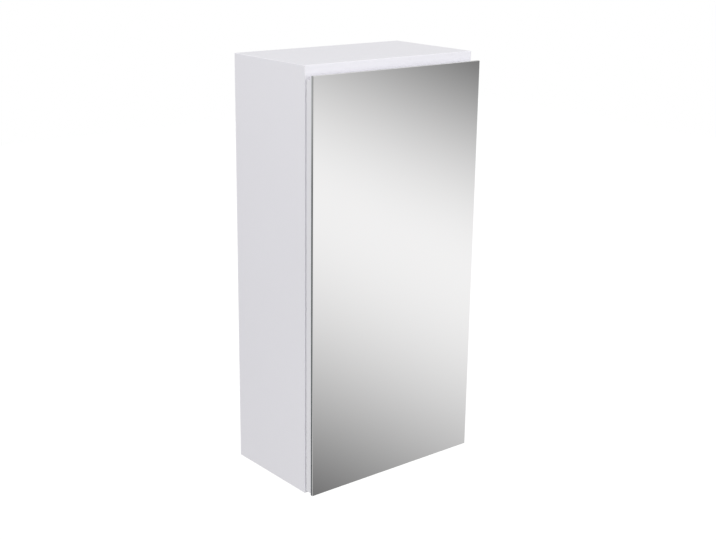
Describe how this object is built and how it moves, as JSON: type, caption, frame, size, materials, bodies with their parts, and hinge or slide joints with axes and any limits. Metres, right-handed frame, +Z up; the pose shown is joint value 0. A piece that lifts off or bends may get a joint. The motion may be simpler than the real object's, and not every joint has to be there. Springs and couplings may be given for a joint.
{
  "type": "mirror cabinet",
  "caption": "Narrow wall-hung bathroom cabinet with a full-height mirror door on concealed cup hinges and glass shelves inside.",
  "frame": {"origin": "midway between the two wall screw holes of the rail, on the wall plane behind the cabinet", "axes": "+X to the right seen from the front, +Y into the wall, +Z up; the mirror faces -Y"},
  "size_m": [0.3, 0.182, 0.612],
  "materials": {
    "white_lacquer": "satin white lacquer on fibreboard",
    "white_hardboard": "white faced hardboard",
    "silvered_glass": "silvered float glass with polished edges",
    "clear_glass": "clear float glass",
    "foam_tape": "double-sided foam tape",
    "soft_bumper": "clear soft bumper",
    "white_plastic": "moulded white plastic",
    "nickel_steel": "nickel-plated steel",
    "zinc_steel": "zinc-plated steel"
  },
  "bodies": {
    "cabinet": {"back_panel": "white_hardboard", "bottom_board": "white_lacquer", "left_hanger": "white_plastic", "left_hook": "zinc_steel", "left_side": "white_lacquer", "lower_hinge_arm": "nickel_steel", "lower_hinge_plate": "nickel_steel", "lower_shelf": "clear_glass", "lower_shelf_pins": "nickel_steel", "right_hanger": "white_plastic", "right_hook": "zinc_steel", "right_side": "white_lacquer", "top_board": "white_lacquer", "upper_hinge_arm": "nickel_steel", "upper_hinge_plate": "nickel_steel", "upper_shelf": "clear_glass", "upper_shelf_pins": "nickel_steel", "wall_rail": "zinc_steel"},
    "door": {"door_panel": "white_lacquer", "mirror_glass": "silvered_glass", "mirror_tape": "foam_tape", "door_bumpers": "soft_bumper", "upper_hinge_cup": "nickel_steel", "upper_hinge_pin": "nickel_steel", "lower_hinge_cup": "nickel_steel", "lower_hinge_pin": "nickel_steel"}
  },
  "joints": [
    {"name": "door_swing", "type": "hinge", "parent": "cabinet", "child": "door", "pos_m": [0.1432, -0.1736, -0.25], "axis": [0, 0, 1], "range_deg": [0, 90]}
  ]
}
